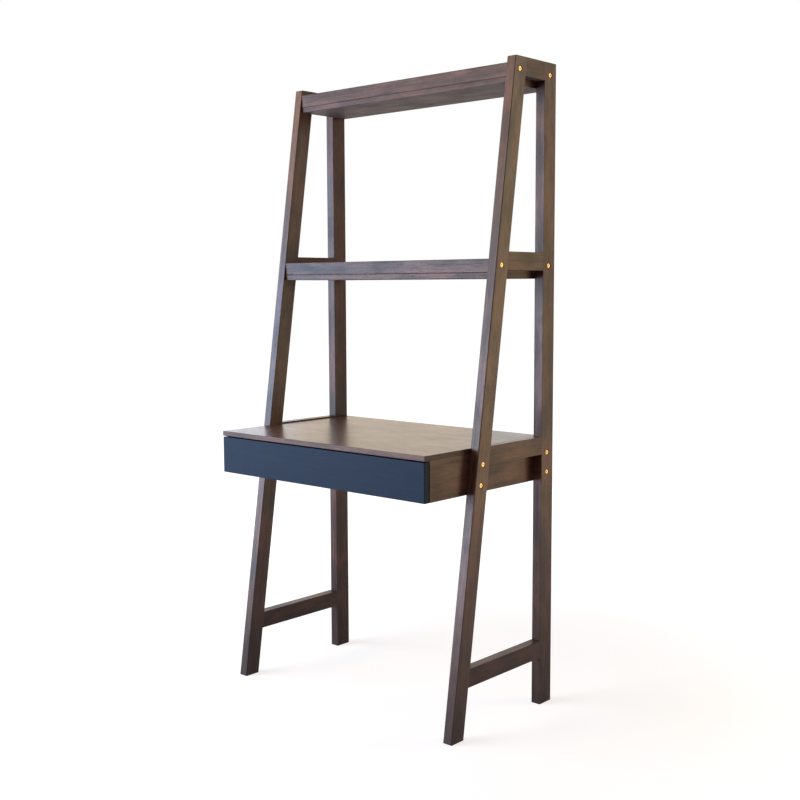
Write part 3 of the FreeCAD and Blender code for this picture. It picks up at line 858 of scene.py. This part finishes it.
# %% [markdown]
# ## Screw heads
#
# Small cross-recessed screws hold the slides to the case and the drawer box, and the drawer front to the
# box. A disc with a painted cross would do from afar, but the drawer opens, so each is a domed head with
# a real recess: rings of points make the dome, and a cross-shaped pit is sunk into its flat top.

# %% Screw head
HEAD_SEGMENTS = 24
# reach and rise of the dome's rings, as shares of the head's radius and height
HEAD_RINGS = ((1.0, 0.0), (1.0, 0.3), (0.94, 0.62), (0.82, 0.85), (0.7, 1.0))
CROSS_REACH = 0.62
CROSS_HALF_WIDTH = 0.17
PIT_TAPER = 0.7
PIT_RISE = 0.35


def neighbours(points):
    """Each point with the next one, and the last with the first."""
    return list(zip(points, points[1:] + points[:1]))


def cross_outline(radius):
    """Corners of the cross recess, in order round the head."""
    arm = radius * CROSS_REACH
    half = radius * CROSS_HALF_WIDTH
    quarter = [(arm, half), (half, half), (half, arm)]
    outline = list(quarter)
    outline += [(-x, y) for x, y in reversed(quarter)]
    outline += [(-x, -y) for x, y in quarter]
    outline += [(x, -y) for x, y in reversed(quarter)]
    return outline


def screw_head(bm, seat, outward, radius, height):
    """Adds one domed cross-recess head that stands on a seat and looks outwards."""
    upright = Vector((0, 0, 1)).rotation_difference(Vector(outward)).to_matrix()

    def put(x, y, z):
        return bm.verts.new(Vector(seat) + upright @ Vector((x, y, z)))

    angles = [2 * math.pi * step / HEAD_SEGMENTS for step in range(HEAD_SEGMENTS)]
    dome = []
    for reach, rise in HEAD_RINGS:
        wide = radius * reach
        dome.append([put(wide * math.cos(a), wide * math.sin(a), height * rise) for a in angles])
    for lower, upper in zip(dome, dome[1:]):
        for (a, b), (d, c) in zip(neighbours(lower), neighbours(upper)):
            bm.faces.new((a, b, c, d)).smooth = True
    cross = cross_outline(radius)
    rim = [put(x, y, height) for x, y in cross]
    pit = [put(x * PIT_TAPER, y * PIT_TAPER, height * PIT_RISE) for x, y in cross]
    loops = [bm.edges.new(pair) for pair in neighbours(rim)]
    loops += [bm.edges.get(pair) for pair in neighbours(dome[-1])]
    bmesh.ops.triangle_fill(bm, use_beauty=True, edges=loops)
    for (a, b), (d, c) in zip(neighbours(rim), neighbours(pit)):
        bm.faces.new((a, b, c, d))
    bm.faces.new(pit)
    bm.faces.new(list(reversed(dome[0])))


print("screw heads of", HEAD_SEGMENTS, "segments, recess of", len(cross_outline(1.0)), "corners")

# %% [markdown]
# ## Rows of screws
#
# Each screw could be an object of its own, but a row never comes apart: it is one object that rides on the
# body that it is driven into. A head on the case member of a slide has to stay out of the ball cage's way,
# so those sit behind the cage's run.
# Heads on the drawer member stand on its web, inside the channel. The drawer front is screwed on from
# inside the box.

# %% Slide and drawer front screws
SLIDE_WEB = 0.0012
SLIDE_HEAD = {"radius": 0.0038, "height": 0.0018}
CASE_SCREWS_FROM_REAR = (0.02, 0.085)
DRAWER_SCREWS_FROM_FRONT = (0.03, 0.16, 0.29, 0.37)
FRONT_HEAD = {"radius": 0.0045, "height": 0.0024}
FRONT_SCREW_COLUMNS = (-0.27, -0.09, 0.09, 0.27)
FRONT_SCREW_ROWS = (0.686, 0.718)


def screws(name, body, places, outward, radius, height):
    """One object for a row of screws on a body, which all look the same way."""
    bm = bmesh.new()
    for place in places:
        screw_head(bm, place, outward, radius, height)
    bmesh.ops.recalc_face_normals(bm, faces=bm.faces)
    mesh = bpy.data.meshes.new(name)
    bm.to_mesh(mesh)
    bm.free()
    mesh.materials.append(zinc)
    piece = bpy.data.objects.new(name, mesh)
    scene.collection.objects.link(piece)
    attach(piece, body)
    print(name, len(places), "screws on", body)


for side, sign in (("left", -1), ("right", 1)):
    low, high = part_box(f"{side}_case_slide")
    middle = (low.z + high.z) / 2
    web = sign * (max(abs(low.x), abs(high.x)) - SLIDE_WEB)
    places = [(web, high.y - back, middle) for back in CASE_SCREWS_FROM_REAR]
    screws(f"{side}_case_slide_screws", "frame", places, (-sign, 0, 0), **SLIDE_HEAD)
    low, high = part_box(f"{side}_drawer_slide")
    web = sign * (min(abs(low.x), abs(high.x)) + SLIDE_WEB)
    places = [(web, low.y + along, middle) for along in DRAWER_SCREWS_FROM_FRONT]
    screws(f"{side}_drawer_slide_screws", "drawer", places, (sign, 0, 0), **SLIDE_HEAD)

inner_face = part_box("drawer_box_front")[1].y
places = [(x, inner_face, z) for x in FRONT_SCREW_COLUMNS for z in FRONT_SCREW_ROWS]
screws("drawer_front_screws", "drawer", places, (0, 1, 0), **FRONT_HEAD)
